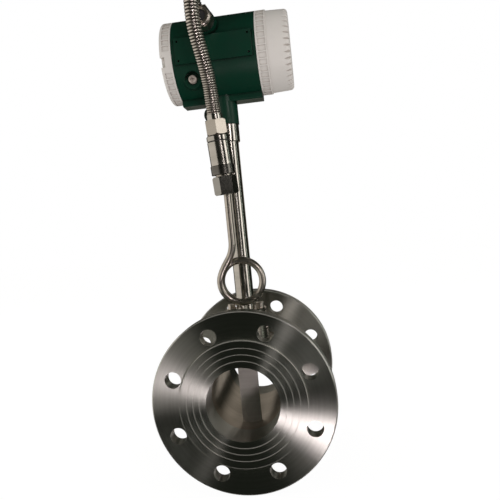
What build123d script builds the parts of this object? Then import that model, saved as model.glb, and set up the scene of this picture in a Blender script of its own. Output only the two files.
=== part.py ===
from build123d import *
import math
import os

os.makedirs("parts", exist_ok=True)

# Vortex flow meter, millimetres. Y is the pipe axis, with the flow towards +Y; Z runs up the stem;
# X is the axis of the converter housing. The origin is the centre of the inlet gasket face.

# Flow body and flanges
pipe_bore = 80.0
face_to_face = 200.0
flange_dia = 200.0
flange_thick = 20.0
raised_room = 2.0
raised_height = 3.0
bolt_inset = 20.0
bolt_hole_dia = 18.0
bolt_count = 8
hub_dia = 112.0
hub_length = 16.0
body_wall = 8.0
flange_chamfer = 1.5
groove_insets = (8.0, 15.0, 22.0)
groove_width = 1.0
groove_depth = 0.5
weld_width = 7.0
weld_height = 1.6

# Bluff bar and vortex probe
bluff_width = 22.4
bluff_tail = 9.0
bluff_lip = 3.0
bluff_length = 26.0
bluff_y = 60.0
probe_dia = 14.0
probe_clear = 0.4
probe_flange_dia = 27.0
probe_flange_thick = 5.0
probe_gasket_thick = 1.0
probe_stub_dia = 12.0
probe_stub_length = 14.0
probe_rod_end = 30.0
paddle_tip = 4.0
paddle_thick = 3.0
paddle_width = 12.0

# Stem
stem_y = face_to_face / 2
boss_dia = 50.0
boss_rise = 32.0
stem_dia = 22.0
stem_bore = 17.0
stem_flange_thick = 8.0
stem_flange_chamfer = 1.0
socket_depth = 4.0
fit_clear = 0.05
stem_screw_dia = 6.0
stem_screw_head = 9.6
stem_screw_circle = 35.0
stem_screw_count = 4
stem_screw_reach = 12.0
hex_socket_flat = 5.0
hex_socket_depth = 3.0
edge_break = 0.6
collar_dia = 26.2
collar_bottom = 290.7
collar_length = 21.0
collar_socket = 14.0
collar_spigot_dia = 20.0
collar_spigot_length = 14.0
collar_lead_bore = 12.0

# Converter housing
head_y = stem_y
head_z = 391.0
shell_dia = 96.0
shell_left = -50.0
shell_right = 46.0
shell_wall = 7.0
divider_left = 3.0
divider_thick = 4.0
keel_drop = 5.7
keel_width = 25.0
keel_round = 2.0
neck_dia = 28.0
neck_bottom = collar_bottom + collar_length
lead_duct_dia = 7.0
lug_dia = 21.0
lug_x = -15.5
lug_z = 324.5
lug_length = 20.0
clamp_slot = 2.0
lock_screw_dia = 6.0
lock_screw_head = 10.0
lock_head_height = 4.8
lock_screw_length = 19.0
entry_x = -9.0
entry_z = 419.0
entry_tip = 45.0
entry_tip_dia = 26.0
entry_root_dia = 30.0
entry_bore = 18.4
pad_bottom = 377.0
pad_top = 406.0
pad_left = -46.0
pad_right = 42.0
pad_rise = 0.8
rivet_dia = 2.6
rivet_depth = 2.5
rivet_edge = 3.8
ground_x = -30.0
ground_z = 361.0
ground_sink = 10.5
ground_spot_dia = 18.0
ground_spot_wall = 1.0
ground_block_dia = 14.0
ground_block_depth = 10.0
ground_screw_dia = 5.0
ground_head_dia = 9.0
ground_head_height = 3.4
ground_head_round = 1.4
ground_cross_length = 5.0
ground_cross_width = 1.1
ground_cross_depth = 2.0
ground_screw_reach = 8.0
ground_washer_dia = 11.0
ground_washer_thick = 1.0

# Covers
cover_gap = 0.3
thread_gap = 0.3
spigot_length = 12.0
spigot_wall = 3.7
rim_width = 2.0
flute_count = 40
flute_length = 8.6
flute_depth = 1.1
flute_rib = 1.5
band_end = 1.2
seal_section = 2.0
seal_groove_floor = 2.4
seal_side_gap = 0.3
seal_from_rim = 3.0
display_end = 84.0
barrel_inset = 1.3
barrel_taper = 0.9
barrel_round = 4.5
barrel_step = 0.6
tooth_length = 8.5
tooth_share = 0.9
tooth_overreach = 1.0
tooth_tip_width = 0.6
window_room = 13.0
window_edge = 4.0
window_thick = 4.0
window_lip = 3.6
window_bevel = 1.0
window_gasket_lap = 0.5
window_gasket_thick = 1.0
window_ring_thick = 3.0
ring_notch_width = 3.0
ring_notch_depth = 2.0
ring_notch_count = 4
terminal_end = -64.0
terminal_round = 3.0
terminal_wall = 5.0
terminal_flute_length = 8.0
spanner_width = 11.0
spanner_depth = 5.4
spanner_reach = 10.0
spanner_tilt = 11.0
spanner_flat = 3

# Electronics behind the display
board_room = 7.0
board_thick = 1.6
power_board_x = 22.0
main_board_x = 38.0
pillar_dia = 6.0
pillar_inset = 5.0
pillar_count = 4
bezel_x = 54.0
bezel_thick = 8.0
bezel_wall = 2.5
bezel_round = 1.0
pillar_room = 1.0
lcd_wide = 40.0
lcd_high = 22.0
lcd_thick = 4.0
lcd_up = 4.0
key_dia = 7.5
key_gap = 0.3
key_rise = 1.6
key_pitch = 11.5
key_down = 19.0
key_flange = 1.2
key_round = 0.5
key_count = 3
component_high = 6.0
chip_high = 2.0
power_blocks = [((-8.0, 8.0), (18.0, 14.0)), ((12.0, -6.0), (10.0, 10.0))]
power_cans = [(-6.0, -14.0), (10.0, 12.0)]
power_can_dia = 8.0
main_chips = [((0.0, 4.0), (14.0, 14.0)), ((-16.0, -8.0), (8.0, 5.0)), ((16.0, -8.0), (8.0, 5.0))]

# Terminal chamber
terminal_board_thick = 2.0
terminal_board_room = 4.0
terminal_block_wide = 50.0
terminal_block_high = 20.0
terminal_block_deep = 15.0
terminal_ways = 5
terminal_screw_dia = 5.5
terminal_screw_seat = 1.0
terminal_slot_length = 4.4
terminal_slot_width = 0.9
terminal_slot_depth = 1.0
terminal_block_bevel = 3.0

# Cable glands
gland_flat = 23.4
gland_hex_thick = 5.0
gland_spigot_length = 10.0
gland_neck_dia = 18.0
gland_nut_length = 12.0
gland_dome = 3.0
gland_seal_dia = 16.0
gland_seal_length = 4.0
gland_hole = 9.0
gland_plug_head = 12.5
gland_plug_rise = 2.0
gland_body_hole = 11.0
elbow_dia = 18.0
elbow_bore = 10.0
elbow_turn = 11.0
elbow_y = 181.0
elbow_tilt = 24.0
elbow_leg = 16.0
hose_nut_dia = 22.0
hose_nut_length = 10.0

# Pressure tapping train
siphon_dia = 8.0
siphon_bore = 5.0
siphon_x = -1.7
siphon_y = 50.0
siphon_socket = 3.0
loop_radius = 24.8
loop_x = 4.4
loop_z = 126.0
loop_pitch = 10.0
loop_start = 141.0
loop_finish = 600.0
loop_steps = 15
siphon_arc_share = 0.47
leg_in_rise = 35.2
leg_out_shift = 8.9
leg_out_drop = 6.0
tap_length = 22.0
tap_dia = 18.0
tap_socket = 11.0
tap_chamfer = 1.5
train_bottom = 226.0
train_lean = 3.25
train_forward = 3.0
nut_flat = 24.0
nut_length = 20.6
nut_turn = 12.0
nut_chamfer = 1.6
nipple_dia = 19.0
nipple_gap = 1.8
ring_dia = 27.4
ring_length = 10.6
sensor_dia = 25.8
sensor_length = 26.0
seal_ring_length = 1.4
seal_ring_inset = 0.8
sensor_cap_dia = 25.8
sensor_cap_length = 6.4
sensor_cap_chamfer = 1.6
connector_flat = 22.4
connector_length = 16.6
connector_turn = 38.0
connector_chamfer = 1.4
cuff_dia = 17.8
cuff_length = 6.0

# Metal hose: the points that its centre line follows from the pressure sensor, up the front of the
# housing, over the top and down into the elbow on the rear entry
hose_dia = 16.0
hose_foot_run = 18.0
hose_end_run = 46.0
hose_arc_share = 0.45
hose_points = [
    (-7.7, 41.0, 350.0),
    (-10.8, 29.5, 377.0),
    (-15.2, 20.5, 403.0),
    (-15.4, 17.8, 431.0),
    (-13.0, 21.0, 466.0),
    (-20.0, 41.0, 505.0),
    (-32.0, 80.0, 531.0),
    (-42.0, 121.0, 532.0),
    (-42.0, 159.0, 512.0),
]

# Values that follow from the sizes above
elbow_direction = (-math.sin(math.radians(elbow_tilt)), 0, math.cos(math.radians(elbow_tilt)))
pipe_radius = pipe_bore / 2
body_dia = pipe_bore + 2 * body_wall
body_radius = body_dia / 2
bolt_circle = flange_dia - 2 * bolt_inset
raised_dia = bolt_circle - bolt_hole_dia - 2 * raised_room
groove_dias = [raised_dia - 2 * inset for inset in groove_insets]
boss_top = body_radius + boss_rise
hub_end = flange_thick + hub_length
shell_radius = shell_dia / 2
chamber_radius = shell_radius - shell_wall
keel_bottom = head_z - shell_radius - keel_drop
pad_face = head_y - shell_radius - pad_rise
ground_face = head_y - shell_radius + ground_sink
barrel_dia = shell_dia - 2 * barrel_inset
barrel_end_dia = barrel_dia - 2 * barrel_taper
window_dia = shell_dia - 2 * window_room
window_opening = window_dia - 2 * window_edge
board_dia = 2 * (chamber_radius - board_room)
pillar_circle = board_dia - 2 * pillar_inset
terminal_board_dia = 2 * (chamber_radius - terminal_board_room)
spigot_radius = chamber_radius - thread_gap
cover_bore_radius = spigot_radius - spigot_wall
divider_right = divider_left + divider_thick
stem_bottom = boss_top + stem_flange_thick - socket_depth
stem_top = collar_bottom + collar_socket
probe_seat = boss_top - probe_flange_thick - probe_gasket_thick
bluff_taper = bluff_y + bluff_lip
head_axis = Axis((0, head_y, head_z), (1, 0, 0))
head_section = Plane(origin=(0, head_y, head_z), x_dir=(1, 0, 0), z_dir=(0, -1, 0))
train_dir = (-math.tan(math.radians(train_lean)), -math.tan(math.radians(train_forward)), 1)
train_base = Plane(origin=(siphon_x, siphon_y, train_bottom), z_dir=train_dir)
nipple_top = nut_length + nipple_gap
ring_top = nipple_top + ring_length
barrel_top = ring_top + sensor_length
cap_bottom = barrel_top + seal_ring_length
cap_top = cap_bottom + sensor_cap_length
train_top = cap_top + connector_length


def across_head(x):
    """Plane square to the housing axis at x, with its own x along +Y and its y along +Z."""
    return Plane(origin=(x, head_y, head_z), x_dir=(0, 1, 0), z_dir=(1, 0, 0))


def across_pipe(y):
    """Plane square to the pipe at y, with its normal towards the inlet."""
    return Plane(origin=(0, y, 0), x_dir=(1, 0, 0), z_dir=(0, -1, 0))


def up_train(height):
    """Plane square to the sensor train at a height above the siphon nut's lower face."""
    return train_base.offset(height)


def train_point(height):
    """Point on the sensor train's axis at a height above the siphon nut's lower face."""
    return tuple(up_train(height).origin)


def up_elbow(distance):
    """Point on the leaning leg of the rear elbow, counted from its corner."""
    return tuple(
        start + distance * part
        for start, part in zip((entry_x, elbow_y, entry_z), elbow_direction)
    )


def corner_radii(points, share):
    """Largest arcs that a chain of runs takes, as a share of the shorter run at each corner."""
    radii = []
    for before, corner, after in zip(points, points[1:], points[2:]):
        run_in = Vector(*corner) - Vector(*before)
        run_out = Vector(*after) - Vector(*corner)
        half_turn = math.radians(run_in.get_angle(run_out)) / 2
        radii.append(share * min(run_in.length, run_out.length) / math.tan(half_turn))
    return radii


# Inlet flange: weld-neck flange with raised face, gasket grooves and eight bolt holes
with BuildPart() as inlet_flange:
    with BuildSketch(Plane.XY) as flange_section:
        with BuildLine():
            Polyline(
                (pipe_radius, 0),
                (raised_dia / 2, 0),
                (raised_dia / 2, raised_height),
                (flange_dia / 2 - flange_chamfer, raised_height),
                (flange_dia / 2, raised_height + flange_chamfer),
                (flange_dia / 2, flange_thick - flange_chamfer),
                (flange_dia / 2 - flange_chamfer, flange_thick),
                (hub_dia / 2, flange_thick),
                (body_radius, hub_end),
                (pipe_radius, hub_end),
                close=True,
            )
        make_face()
    revolve(axis=Axis.Y)
    with BuildSketch(Plane.XY):
        with Locations(*[(dia / 2, 0) for dia in groove_dias]):
            Rectangle(groove_width, 2 * groove_depth)
    revolve(axis=Axis.Y, mode=Mode.SUBTRACT)
    with BuildSketch(across_pipe(flange_thick)):
        with PolarLocations(bolt_circle / 2, bolt_count, start_angle=180 / bolt_count):
            Circle(bolt_hole_dia / 2)
    extrude(amount=flange_thick, mode=Mode.SUBTRACT)
inlet_flange.part.label = "inlet_flange"
export_step(inlet_flange.part, "parts/inlet_flange.step")

# Outlet flange: the inlet flange turned round
with BuildPart() as outlet_flange:
    mirror(inlet_flange.part, about=across_pipe(face_to_face / 2))
outlet_flange.part.label = "outlet_flange"
export_step(outlet_flange.part, "parts/outlet_flange.step")

# Measuring tube between the flange hubs
with BuildPart() as body_tube:
    with BuildSketch(across_pipe(hub_end)):
        Circle(body_radius)
        Circle(pipe_radius, mode=Mode.SUBTRACT)
    extrude(amount=-(face_to_face - 2 * hub_end))
    with BuildSketch(Plane.XY):
        with Locations((0, stem_y)):
            Circle(probe_dia / 2 + probe_clear)
    extrude(amount=body_dia, mode=Mode.SUBTRACT)
body_tube.part.label = "body_tube"

# Weld beads where the hubs meet the tube
with BuildPart() as body_welds:
    with BuildSketch(Plane.XY):
        for weld_y in (hub_end, face_to_face - hub_end):
            with BuildLine():
                bead = ThreePointArc(
                    (body_radius, weld_y - weld_width / 2),
                    (body_radius + weld_height, weld_y),
                    (body_radius, weld_y + weld_width / 2),
                )
                Line(bead @ 1, bead @ 0)
            make_face()
    revolve(axis=Axis.Y)
    for hub_start, hub_way in ((0, 1), (face_to_face, -1)):
        with BuildSketch(Plane.XY):
            with BuildLine():
                Polyline(
                    (0, hub_start),
                    (hub_dia / 2, hub_start),
                    (hub_dia / 2, hub_start + hub_way * flange_thick),
                    (body_radius, hub_start + hub_way * hub_end),
                    (0, hub_start + hub_way * hub_end),
                    close=True,
                )
            make_face()
        revolve(axis=Axis.Y, mode=Mode.SUBTRACT)
body_welds.part.label = "body_welds"
export_step(body_welds.part, "parts/body_welds.step")

# Bluff bar: delta-shaped shedder across the bore, with its blunt face to the flow
with BuildPart() as bluff_bar:
    with BuildSketch(Plane.XY):
        with BuildLine():
            Polyline(
                (-bluff_width / 2, bluff_y),
                (bluff_width / 2, bluff_y),
                (bluff_width / 2, bluff_taper),
                (bluff_tail / 2, bluff_y + bluff_length),
                (-bluff_tail / 2, bluff_y + bluff_length),
                (-bluff_width / 2, bluff_taper),
                close=True,
            )
        make_face()
    extrude(amount=pipe_radius, both=True)
    with BuildSketch(across_pipe(0)):
        Circle(pipe_radius)
    extrude(amount=-face_to_face, mode=Mode.INTERSECT)
bluff_bar.part.label = "bluff_bar"
export_step(bluff_bar.part, "parts/bluff_bar.step")

# Stem boss welded to the tube, bored for the probe and tapped for the stem screws
with BuildPart() as stem_boss:
    with BuildSketch(Plane.XY.offset(boss_top)):
        with Locations((0, stem_y)):
            Circle(boss_dia / 2)
    extrude(amount=-(boss_top - pipe_radius / 2))
    with BuildSketch(across_pipe(0)):
        Circle(body_radius)
    extrude(amount=-face_to_face, mode=Mode.SUBTRACT)
    with BuildSketch(Plane.XY.offset(boss_top)):
        with Locations((0, stem_y)):
            Circle(probe_dia / 2 + probe_clear)
    extrude(amount=-boss_top, mode=Mode.SUBTRACT)
    with BuildSketch(Plane.XY.offset(probe_seat)):
        with Locations((0, stem_y)):
            Circle(probe_flange_dia / 2 + fit_clear)
    extrude(amount=boss_top, mode=Mode.SUBTRACT)
    with BuildSketch(Plane.XY.offset(boss_top)):
        with Locations((0, stem_y)):
            with PolarLocations(stem_screw_circle / 2, stem_screw_count):
                Circle(stem_screw_dia / 2 + fit_clear)
    extrude(amount=-(stem_screw_reach + fit_clear), mode=Mode.SUBTRACT)
stem_boss.part.label = "stem_boss"
export_step(stem_boss.part, "parts/stem_boss.step")

# Probe gasket
with BuildPart() as probe_gasket:
    with BuildSketch(Plane.XY.offset(probe_seat)):
        with Locations((0, stem_y)):
            Circle(probe_flange_dia / 2)
            Circle(probe_dia / 2 + probe_clear, mode=Mode.SUBTRACT)
    extrude(amount=probe_gasket_thick)
probe_gasket.part.label = "probe_gasket"
export_step(probe_gasket.part, "parts/probe_gasket.step")

# Vortex probe: paddle in the flow behind the bar, round body, clamped flange and lead stub
with BuildPart() as sensing_probe:
    with BuildSketch(Plane.XY.offset(probe_rod_end)):
        with Locations((0, stem_y)):
            Circle(probe_dia / 2)
    extrude(amount=probe_seat + probe_gasket_thick - probe_rod_end)
    with BuildSketch(Plane.XY.offset(probe_seat + probe_gasket_thick)):
        with Locations((0, stem_y)):
            Circle(probe_flange_dia / 2)
    extrude(amount=probe_flange_thick)
    with BuildSketch(Plane.XY.offset(boss_top)):
        with Locations((0, stem_y)):
            Circle(probe_stub_dia / 2)
    extrude(amount=probe_stub_length)
    with BuildSketch(Plane.XY.offset(paddle_tip)):
        with Locations((0, stem_y)):
            SlotOverall(paddle_width, paddle_thick, rotation=90)
    extrude(amount=probe_rod_end - paddle_tip)
sensing_probe.part.label = "sensing_probe"
export_step(sensing_probe.part, "parts/sensing_probe.step")

# Stem flange with the socket that the stem is welded into
with BuildPart() as stem_flange:
    with BuildSketch(Plane.XY.offset(boss_top)):
        with Locations((0, stem_y)):
            Circle(boss_dia / 2)
            Circle(stem_bore / 2, mode=Mode.SUBTRACT)
            with PolarLocations(stem_screw_circle / 2, stem_screw_count):
                Circle(stem_screw_dia / 2 + thread_gap, mode=Mode.SUBTRACT)
    extrude(amount=stem_flange_thick)
    with BuildSketch(Plane.XY.offset(stem_bottom)):
        with Locations((0, stem_y)):
            Circle(stem_dia / 2 + fit_clear)
    extrude(amount=socket_depth, mode=Mode.SUBTRACT)
    top_rim = stem_flange.edges().group_by(Axis.Z)[-1].sort_by(SortBy.LENGTH)[-1]
    chamfer(top_rim, length=stem_flange_chamfer)
stem_flange.part.label = "stem_flange"
export_step(stem_flange.part, "parts/stem_flange.step")

# Four socket head screws that hold the stem flange down
with BuildPart() as stem_screws:
    flange_top = boss_top + stem_flange_thick
    with BuildSketch(Plane.XY.offset(flange_top)):
        with Locations((0, stem_y)):
            with PolarLocations(stem_screw_circle / 2, stem_screw_count):
                Circle(stem_screw_head / 2)
    extrude(amount=stem_screw_dia)
    with BuildSketch(Plane.XY.offset(flange_top)):
        with Locations((0, stem_y)):
            with PolarLocations(stem_screw_circle / 2, stem_screw_count):
                Circle(stem_screw_dia / 2)
    extrude(amount=-(stem_flange_thick + stem_screw_reach))
    with BuildSketch(Plane.XY.offset(flange_top + stem_screw_dia)):
        with Locations((0, stem_y)):
            with PolarLocations(stem_screw_circle / 2, stem_screw_count):
                RegularPolygon(hex_socket_flat / 2, 6, major_radius=False)
    extrude(amount=-hex_socket_depth, mode=Mode.SUBTRACT)
stem_screws.part.label = "stem_screws"
export_step(stem_screws.part, "parts/stem_screws.step")

# Stem tube
with BuildPart() as stem_tube:
    with BuildSketch(Plane.XY.offset(stem_bottom)):
        with Locations((0, stem_y)):
            Circle(stem_dia / 2)
            Circle(stem_bore / 2, mode=Mode.SUBTRACT)
    extrude(amount=stem_top - stem_bottom)
stem_tube.part.label = "stem_tube"
export_step(stem_tube.part, "parts/stem_tube.step")

# Stem collar: socket below for the stem, spigot above for the housing neck
with BuildPart() as stem_collar:
    with BuildSketch(Plane.XY.offset(collar_bottom)):
        with Locations((0, stem_y)):
            Circle(collar_dia / 2)
    extrude(amount=collar_length)
    chamfer(stem_collar.edges().filter_by(GeomType.CIRCLE), length=edge_break)
    with BuildSketch(Plane.XY.offset(neck_bottom)):
        with Locations((0, stem_y)):
            Circle(collar_spigot_dia / 2)
    extrude(amount=collar_spigot_length)
    with BuildSketch(Plane.XY.offset(collar_bottom)):
        with Locations((0, stem_y)):
            Circle(collar_lead_bore / 2)
    extrude(amount=collar_length + collar_spigot_length, mode=Mode.SUBTRACT)
    with BuildSketch(Plane.XY.offset(collar_bottom)):
        with Locations((0, stem_y)):
            Circle(stem_dia / 2 + fit_clear)
    extrude(amount=collar_socket, mode=Mode.SUBTRACT)
stem_collar.part.label = "stem_collar"
export_step(stem_collar.part, "parts/stem_collar.step")

# Converter housing: die casting with two chambers, keel, neck with clamp lug, and two cable entries
with BuildPart() as housing:
    with BuildSketch(across_head(shell_left)):
        Circle(shell_radius)
    extrude(amount=shell_right - shell_left)
    with BuildSketch(across_head(shell_left)):
        with Locations((0, keel_bottom - head_z)):
            Rectangle(keel_width, head_z - keel_bottom, align=(Align.CENTER, Align.MIN))
    extrude(amount=shell_right - shell_left)
    keel_edges = housing.edges().filter_by(Axis.X).group_by(Axis.Z)[0]
    fillet(keel_edges, radius=keel_round)
    with BuildSketch(Plane.XY.offset(neck_bottom)):
        with Locations((0, stem_y)):
            Circle(neck_dia / 2)
    extrude(amount=head_z - chamber_radius - neck_bottom)
    with BuildSketch(across_pipe(stem_y + lug_length / 2)):
        with Locations((lug_x, lug_z)):
            Circle(lug_dia / 2)
    extrude(amount=lug_length)
    for entry_side in (1, -1):
        tip_y = head_y - entry_side * (head_y - entry_tip)
        root_y = head_y - entry_side * chamber_radius / 2
        with BuildSketch(across_pipe(tip_y)):
            with Locations((entry_x, entry_z)):
                Circle(entry_tip_dia / 2)
        with BuildSketch(across_pipe(root_y)):
            with Locations((entry_x, entry_z)):
                Circle(entry_root_dia / 2)
        loft()
    with BuildSketch(Plane.XY.offset(pad_bottom)):
        with Locations(((pad_left + pad_right) / 2, pad_face)):
            Rectangle(pad_right - pad_left, head_y - pad_face, align=(Align.CENTER, Align.MIN))
    extrude(amount=pad_top - pad_bottom)
    with BuildSketch(across_pipe(ground_face)):
        with Locations((ground_x, ground_z)):
            Circle(ground_spot_dia / 2 + ground_spot_wall)
    extrude(amount=-(head_y - ground_face) / 2)
    with BuildSketch(across_pipe(ground_face)):
        with Locations((ground_x, ground_z)):
            Circle(ground_spot_dia / 2)
    extrude(amount=head_y - ground_face, mode=Mode.SUBTRACT)
    # Chambers with the divider between them
    with BuildSketch(across_head(shell_left)):
        Circle(chamber_radius)
    extrude(amount=divider_left - shell_left, mode=Mode.SUBTRACT)
    with BuildSketch(across_head(shell_right)):
        Circle(chamber_radius)
    extrude(amount=divider_right - shell_right, mode=Mode.SUBTRACT)
    # Ground screw thread, in a block of metal left inside the terminal chamber
    with BuildSketch(across_pipe(ground_face)):
        with Locations((ground_x, ground_z)):
            Circle(ground_block_dia / 2)
    extrude(amount=-ground_block_depth)
    with BuildSketch(across_pipe(ground_face)):
        with Locations((ground_x, ground_z)):
            Circle(ground_screw_dia / 2 + fit_clear)
    extrude(amount=-(ground_screw_reach + ground_washer_thick), mode=Mode.SUBTRACT)
    # Cable entry bores into the terminal chamber
    for entry_side in (1, -1):
        tip_y = head_y - entry_side * (head_y - entry_tip)
        with BuildSketch(across_pipe(tip_y)):
            with Locations((entry_x, entry_z)):
                Circle(entry_bore / 2)
        extrude(amount=-entry_side * (head_y - entry_tip) / 2, mode=Mode.SUBTRACT)
    # Neck bore, and the slanted duct that brings the leads into the display chamber
    with BuildSketch(Plane.XY.offset(neck_bottom)):
        with Locations((0, stem_y)):
            Circle(collar_spigot_dia / 2 + fit_clear)
    extrude(amount=collar_spigot_length + fit_clear, mode=Mode.SUBTRACT)
    with BuildSketch(Plane.XY.offset(neck_bottom)):
        with Locations((0, stem_y)):
            Circle(collar_lead_bore / 2)
    extrude(amount=keel_bottom + lead_duct_dia - neck_bottom, mode=Mode.SUBTRACT)
    duct_start = (0, stem_y, keel_bottom + lead_duct_dia / 2)
    with BuildSketch(Plane(origin=duct_start, x_dir=(0, 1, 0), z_dir=(1, 0, 1))):
        Circle(lead_duct_dia / 2)
    extrude(amount=chamber_radius / 2, mode=Mode.SUBTRACT)
    # Clamp slot through the lug, and the lock screw's hole
    with BuildSketch(across_pipe(stem_y + clamp_slot / 2)):
        with Locations((0, neck_bottom)):
            Rectangle(lug_dia - lug_x, collar_spigot_length, align=(Align.MAX, Align.MIN))
    extrude(amount=clamp_slot, mode=Mode.SUBTRACT)
    with BuildSketch(across_pipe(stem_y + lug_length / 2)):
        with Locations((lug_x - lock_screw_dia / 2, lug_z)):
            Circle(lock_screw_dia / 2 + fit_clear)
    extrude(amount=lug_length, mode=Mode.SUBTRACT)
    # Rivet holes of the bare nameplate pad
    with BuildSketch(across_pipe(pad_face)):
        with Locations(((pad_left + pad_right) / 2, (pad_bottom + pad_top) / 2)):
            with GridLocations(
                pad_right - pad_left - 2 * rivet_edge, pad_top - pad_bottom - 2 * rivet_edge, 2, 2
            ):
                Circle(rivet_dia / 2)
    extrude(amount=-rivet_depth, mode=Mode.SUBTRACT)
housing.part.label = "housing"
export_step(housing.part, "parts/housing.step")

# Lock screw through the clamp lug
with BuildPart() as lock_screw:
    lug_front = stem_y - lug_length / 2
    with BuildSketch(across_pipe(lug_front)):
        with Locations((lug_x - lock_screw_dia / 2, lug_z)):
            Circle(lock_screw_head / 2)
    extrude(amount=lock_head_height)
    with BuildSketch(across_pipe(lug_front)):
        with Locations((lug_x - lock_screw_dia / 2, lug_z)):
            Circle(lock_screw_dia / 2)
    extrude(amount=-lock_screw_length)
    with BuildSketch(across_pipe(lug_front - lock_head_height)):
        with Locations((lug_x - lock_screw_dia / 2, lug_z)):
            RegularPolygon(hex_socket_flat / 2, 6, major_radius=False)
    extrude(amount=-hex_socket_depth, mode=Mode.SUBTRACT)
lock_screw.part.label = "lock_screw"
export_step(lock_screw.part, "parts/lock_screw.step")

# Ground screw washer
with BuildPart() as ground_washer:
    with BuildSketch(across_pipe(ground_face)):
        with Locations((ground_x, ground_z)):
            Circle(ground_washer_dia / 2)
            Circle(ground_screw_dia / 2 + thread_gap, mode=Mode.SUBTRACT)
    extrude(amount=ground_washer_thick)
ground_washer.part.label = "ground_washer"
export_step(ground_washer.part, "parts/ground_washer.step")

# Ground screw: pan head with a cross recess
with BuildPart() as ground_screw:
    head_start = ground_face - ground_washer_thick
    with BuildSketch(across_pipe(head_start)):
        with Locations((ground_x, ground_z)):
            Circle(ground_head_dia / 2)
    extrude(amount=ground_head_height)
    head_rim = ground_screw.edges().sort_by(Axis.Y)[0]
    fillet(head_rim, radius=ground_head_round)
    with BuildSketch(across_pipe(head_start)):
        with Locations((ground_x, ground_z)):
            Circle(ground_screw_dia / 2)
    extrude(amount=-ground_screw_reach)
    with BuildSketch(across_pipe(head_start - ground_head_height)):
        with Locations((ground_x, ground_z)):
            Rectangle(ground_cross_length, ground_cross_width)
            Rectangle(ground_cross_width, ground_cross_length)
    extrude(amount=-ground_cross_depth, mode=Mode.SUBTRACT)
ground_screw.part.label = "ground_screw"
export_step(ground_screw.part, "parts/ground_screw.step")


def flute_ring(x_start, amount):
    """Shallow rectangular pads round a cover's grip band, all open outwards."""
    pad_width = math.pi * shell_dia / flute_count - flute_rib
    with BuildPart() as pads:
        with BuildSketch(across_head(x_start)):
            with PolarLocations(shell_radius, flute_count):
                Rectangle(2 * flute_depth, pad_width)
        extrude(amount=amount)
    return pads.part


# Display cover: grip band, barrel, window lip and a ring of short teeth on the outer corner
cover_rim = shell_right + cover_gap
band_start = cover_rim + rim_width
band_stop = band_start + flute_length
barrel_start = band_stop + band_end
lip_start = display_end - window_lip
seal_x = cover_rim - seal_from_rim
seal_groove = seal_section + 2 * seal_side_gap
with BuildPart() as display_cover:
    with BuildSketch(head_section):
        with BuildLine():
            Polyline(
                (cover_rim - spigot_length, cover_bore_radius),
                (cover_rim - spigot_length, spigot_radius),
                (cover_rim, spigot_radius),
                (cover_rim, shell_radius),
                (barrel_start, shell_radius),
                (barrel_start + barrel_step, barrel_dia / 2),
                (display_end - barrel_round, barrel_end_dia / 2),
            )
            corner = RadiusArc(
                (display_end - barrel_round, barrel_end_dia / 2),
                (display_end, barrel_end_dia / 2 - barrel_round),
                barrel_round,
            )
            Polyline(
                corner @ 1,
                (display_end, window_opening / 2 + window_bevel),
                (display_end - window_bevel, window_opening / 2),
                (lip_start, window_opening / 2),
                (lip_start, cover_bore_radius),
                (cover_rim - spigot_length, cover_bore_radius),
            )
        make_face()
    revolve(axis=head_axis)
    with BuildSketch(head_section):
        with Locations((seal_x, spigot_radius)):
            Rectangle(seal_groove, 2 * seal_groove_floor)
    revolve(axis=head_axis, mode=Mode.SUBTRACT)
    add(flute_ring(band_start, flute_length), mode=Mode.SUBTRACT)
    tooth_half = tooth_share * math.pi * barrel_end_dia / flute_count / 2
    tooth_outer = barrel_end_dia / 2 + tooth_overreach
    with BuildPart(mode=Mode.PRIVATE) as tooth:
        with BuildSketch(across_head(display_end)):
            with BuildLine():
                Polyline(
                    (barrel_end_dia / 2 - barrel_round, 0),
                    (tooth_outer, tooth_half),
                    (tooth_outer, -tooth_half),
                    close=True,
                )
            make_face()
        with BuildSketch(across_head(display_end - tooth_length)):
            with BuildLine():
                Polyline(
                    (tooth_outer - tooth_tip_width, 0),
                    (tooth_outer, tooth_tip_width / 2),
                    (tooth_outer, -tooth_tip_width / 2),
                    close=True,
                )
            make_face()
        loft(ruled=True)
    turn = 360 / flute_count
    teeth = [tooth.part.rotate(head_axis, step * turn) for step in range(flute_count)]
    add(teeth, mode=Mode.SUBTRACT)
display_cover.part.label = "display_cover"
export_step(display_cover.part, "parts/display_cover.step")

# Window gasket, glass and threaded ring behind the lip
gasket_start = lip_start - window_gasket_thick
glass_start = gasket_start - window_thick
ring_start = glass_start - window_ring_thick
with BuildPart() as window_gasket:
    with BuildSketch(across_head(gasket_start)):
        Circle(window_dia / 2)
        Circle(window_opening / 2 + window_gasket_lap, mode=Mode.SUBTRACT)
    extrude(amount=window_gasket_thick)
window_gasket.part.label = "window_gasket"
export_step(window_gasket.part, "parts/window_gasket.step")

with BuildPart() as window_glass:
    with BuildSketch(across_head(glass_start)):
        Circle(window_dia / 2)
    extrude(amount=window_thick)
window_glass.part.label = "window_glass"
export_step(window_glass.part, "parts/window_glass.step")

with BuildPart() as window_ring:
    with BuildSketch(across_head(ring_start)):
        Circle(cover_bore_radius - fit_clear)
        Circle(window_opening / 2, mode=Mode.SUBTRACT)
        with PolarLocations(cover_bore_radius, ring_notch_count):
            Rectangle(2 * ring_notch_depth, ring_notch_width, mode=Mode.SUBTRACT)
    extrude(amount=window_ring_thick)
window_ring.part.label = "window_ring"
export_step(window_ring.part, "parts/window_ring.step")

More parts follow.
